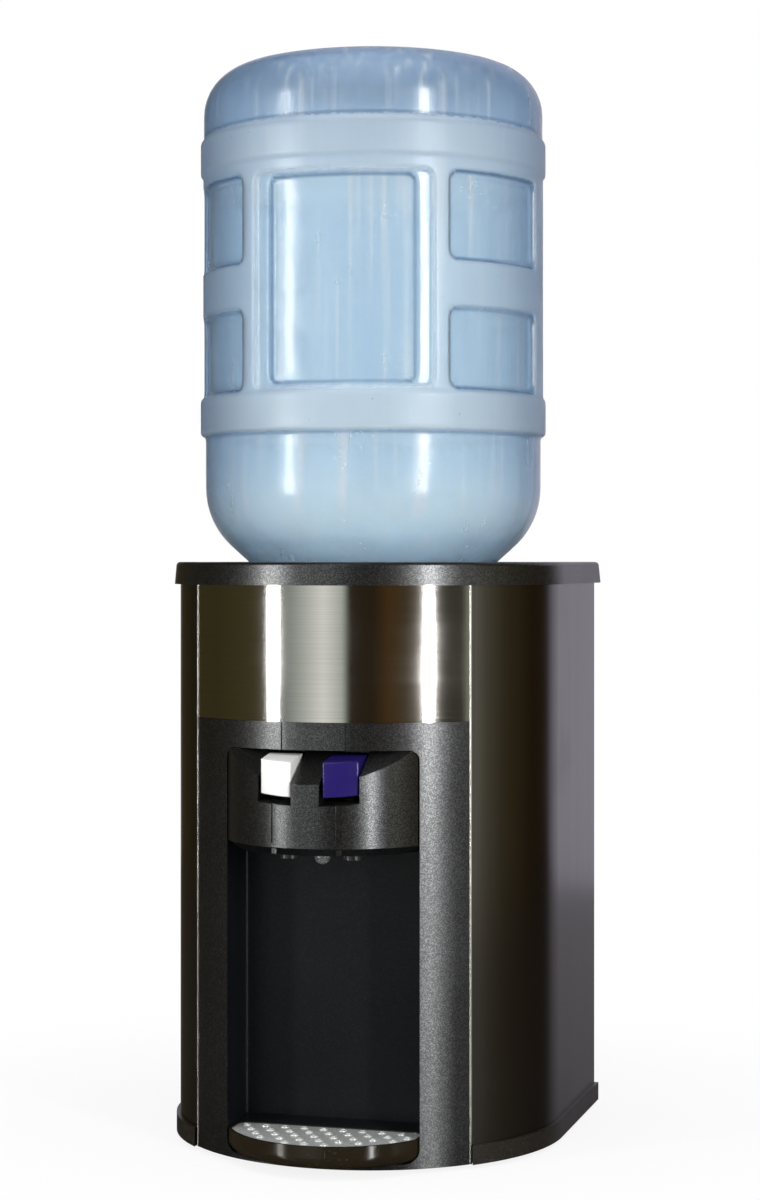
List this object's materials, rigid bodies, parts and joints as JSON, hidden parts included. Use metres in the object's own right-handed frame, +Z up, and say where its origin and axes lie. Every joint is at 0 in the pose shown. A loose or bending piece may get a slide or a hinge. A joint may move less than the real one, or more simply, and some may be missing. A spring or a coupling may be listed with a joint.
{
  "type": "countertop water dispenser",
  "caption": "Countertop water dispenser with a round-fronted cabinet, an arched tap hood over an alcove, levers, a pull-out drip tray and an inverted water bottle.",
  "frame": {"origin": "on the counter straight below the bottle's axis, the centre of the bounding box's base", "axes": "+Z up, +X to the user's right, -Y towards the user"},
  "size_m": [0.307, 0.356, 0.829],
  "materials": {
    "bottle_plastic": "clear, lightly scuffed",
    "cap_plastic": "satin",
    "charcoal_plastic": "fine sparkling texture",
    "brushed_stainless": "brushed",
    "dark_sheet": "dark brushed coat, satin",
    "bright_strip": "polished",
    "base_plastic": "satin",
    "black_rubber": "matte",
    "galvanised_sheet": "galvanised",
    "screw_steel": "zinc plated",
    "liner_plastic": "satin",
    "tray_plastic": "satin",
    "grid_silver": "silver paint",
    "well_plastic": "satin",
    "silicone": "matte",
    "tank_steel": "satin",
    "copper": "drawn tube",
    "foam": "moulded bead foam",
    "compressor_black": "satin",
    "condenser_black": "satin",
    "bracket_plastic": "satin",
    "tap_plastic": "gloss",
    "lever_white": "gloss",
    "lever_blue": "gloss",
    "lamp_clear": "clear"
  },
  "bodies": {
    "cabinet": {"alcove_liner": "liner_plastic", "back_panel": "galvanised_sheet", "base_pan": "base_plastic", "blue_faucet_body": "tap_plastic", "blue_faucet_bonnet": "tap_plastic", "blue_lever_pin": "screw_steel", "blue_return_spring": "screw_steel", "bottle_funnel": "well_plastic", "capillary_tube": "copper", "cold_outlet_pipe": "tank_steel", "cold_tank": "tank_steel", "cold_thermostat": "bracket_plastic", "compressor": "compressor_black", "compressor_bolts": "screw_steel", "compressor_grommets": "black_rubber", "condenser_brackets": "bracket_plastic", "condenser_tube": "condenser_black", "condenser_wires": "condenser_black", "cord_gland": "black_rubber", "discharge_line": "copper", "evaporator_jacket": "copper", "faucet_hood": "charcoal_plastic", "feed_probe": "well_plastic", "filter_drier": "copper", "front_fascia": "charcoal_plastic", "funnel_gasket": "silicone", "lamp_lens": "lamp_clear", "lamp_socket": "bracket_plastic", "left_edge_strip": "bright_strip", "left_insulation": "foam", "left_side_panel": "dark_sheet", "panel_screws": "screw_steel", "right_edge_strip": "bright_strip", "right_insulation": "foam", "right_side_panel": "dark_sheet", "room_outlet_pipe": "tank_steel", "rubber_feet": "black_rubber", "steel_front_panel": "brushed_stainless", "suction_line": "copper", "tank_baffle": "well_plastic", "tank_deck": "galvanised_sheet", "terminal_cover": "liner_plastic", "top_cover": "charcoal_plastic", "white_faucet_body": "tap_plastic", "white_faucet_bonnet": "tap_plastic", "white_lever_pin": "screw_steel", "white_return_spring": "screw_steel"},
    "bottle": {"water_bottle": "bottle_plastic", "bottle_cap": "cap_plastic"},
    "white_lever": {"white_lever": "lever_white"},
    "blue_lever": {"blue_lever": "lever_blue"},
    "white_valve": {"white_valve_stem": "well_plastic", "white_valve_seal": "silicone"},
    "blue_valve": {"blue_valve_stem": "well_plastic", "blue_valve_seal": "silicone"},
    "drip_tray": {"drip_tray": "tray_plastic"},
    "drip_grid": {"drip_grid": "grid_silver"}
  },
  "joints": [
    {"name": "white_lever_press", "type": "hinge", "parent": "cabinet", "child": "white_lever", "pos_m": [-0.0245, -0.152, 0.284], "axis": [1, 0, 0], "range_deg": [0, 10], "stiffness_Nm_per_rad": 0.8, "springref_deg": -6.88},
    {"name": "white_valve_lift", "type": "slide", "parent": "cabinet", "child": "white_valve", "axis": [0, 0, 1], "range_m": [0, 0.0028], "deforming": ["white_return_spring"]},
    {"name": "blue_lever_press", "type": "hinge", "parent": "cabinet", "child": "blue_lever", "pos_m": [0.0245, -0.152, 0.284], "axis": [1, 0, 0], "range_deg": [0, 10], "stiffness_Nm_per_rad": 0.8, "springref_deg": -6.88},
    {"name": "blue_valve_lift", "type": "slide", "parent": "cabinet", "child": "blue_valve", "axis": [0, 0, 1], "range_m": [0, 0.0028], "deforming": ["blue_return_spring"]},
    {"name": "drip_tray_slide", "type": "slide", "parent": "cabinet", "child": "drip_tray", "axis": [0, -1, 0], "range_m": [0, 0.09]},
    {"name": "drip_grid_lift", "type": "slide", "parent": "drip_tray", "child": "drip_grid", "axis": [0, 0, 1], "range_m": [0, 0.05]},
    {"name": "bottle_lift", "type": "slide", "parent": "cabinet", "child": "bottle", "axis": [0, 0, 1], "range_m": [0, 0.12]}
  ],
  "couplings": [
    {"joint": "white_valve_lift", "follows": "white_lever_press", "m_per_rad": 0.015},
    {"joint": "blue_valve_lift", "follows": "blue_lever_press", "m_per_rad": 0.015}
  ]
}
